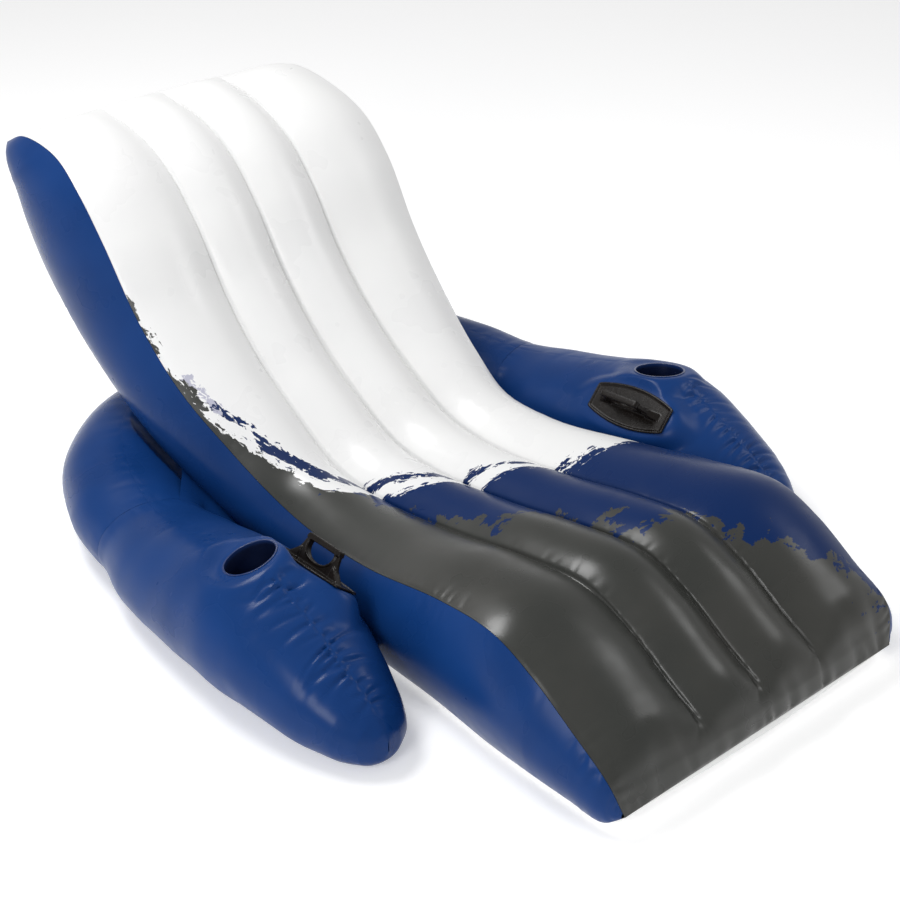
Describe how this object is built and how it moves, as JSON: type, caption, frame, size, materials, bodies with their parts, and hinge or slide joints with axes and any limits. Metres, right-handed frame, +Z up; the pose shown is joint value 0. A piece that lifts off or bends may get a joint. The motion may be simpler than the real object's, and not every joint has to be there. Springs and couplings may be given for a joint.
{
  "type": "inflatable pool float",
  "caption": "Inflatable recliner float: a channelled lounge with a tall backrest on a U-shaped base whose padded arms hold cup wells and grab handles.",
  "frame": {"origin": "on the ground, in the middle of the float's length and width", "axes": "+Y from the foot end to the head of the backrest, +Z up, +X towards the right arm as seen from the foot end"},
  "size_m": [1.3512, 1.8311, 0.7489],
  "materials": {
    "blue_vinyl": "semi-gloss royal blue vinyl film",
    "printed_vinyl": "semi-gloss white vinyl film printed navy and olive grey",
    "white_vinyl": "semi-gloss white vinyl film",
    "cup_vinyl": "glossy dark navy vinyl film",
    "handle_plastic": "glossy brown-black moulding",
    "clear_vinyl": "translucent soft vinyl moulding",
    "inner_vinyl": "plain vinyl film inside the air chamber"
  },
  "bodies": {
    "root": {"lounge_top_sheet": "printed_vinyl", "lounge_bottom_sheet": "white_vinyl", "lounge_side_panel_right": "blue_vinyl", "lounge_side_panel_left": "blue_vinyl", "lounge_beam_1": "inner_vinyl", "lounge_beam_2": "inner_vinyl", "lounge_beam_3": "inner_vinyl", "lounge_valve_stem": "clear_vinyl", "lounge_valve_tether": "clear_vinyl", "rear_tube_outer_panel": "blue_vinyl", "rear_tube_inner_panel": "blue_vinyl", "rear_joining_web": "blue_vinyl", "base_valve_stem": "clear_vinyl", "base_valve_tether": "clear_vinyl", "right_arm_outer_panel": "blue_vinyl", "right_arm_inner_panel": "blue_vinyl", "right_cup_wall": "cup_vinyl", "right_cup_floor": "cup_vinyl", "right_handle": "handle_plastic", "right_joining_web": "blue_vinyl", "left_arm_outer_panel": "blue_vinyl", "left_arm_inner_panel": "blue_vinyl", "left_cup_wall": "cup_vinyl", "left_cup_floor": "cup_vinyl", "left_handle": "handle_plastic", "left_joining_web": "blue_vinyl"},
    "lounge_stopper": {"lounge_valve_stopper": "clear_vinyl"},
    "lounge_flap": {"lounge_valve_flap": "clear_vinyl"},
    "base_stopper": {"base_valve_stopper": "clear_vinyl"},
    "base_flap": {"base_valve_flap": "clear_vinyl"}
  },
  "joints": [
    {"name": "lounge_stopper_pull", "type": "slide", "parent": "root", "child": "lounge_stopper", "axis": [0, 0.766, -0.6429], "range_m": [0, 0.012]},
    {"name": "lounge_flap_open", "type": "hinge", "parent": "root", "child": "lounge_flap", "pos_m": [0.076, 0.78881, 0.47585], "axis": [1, 0, 0], "range_deg": [0, 60], "stiffness_Nm_per_rad": 0.0002},
    {"name": "base_stopper_pull", "type": "slide", "parent": "root", "child": "base_stopper", "axis": [0, 0.9732, 0.2298], "range_m": [0, 0.012]},
    {"name": "base_flap_open", "type": "hinge", "parent": "root", "child": "base_flap", "pos_m": [0, 0.72631, 0.11539], "axis": [1, 0, 0], "range_deg": [0, 60], "stiffness_Nm_per_rad": 0.0002}
  ]
}
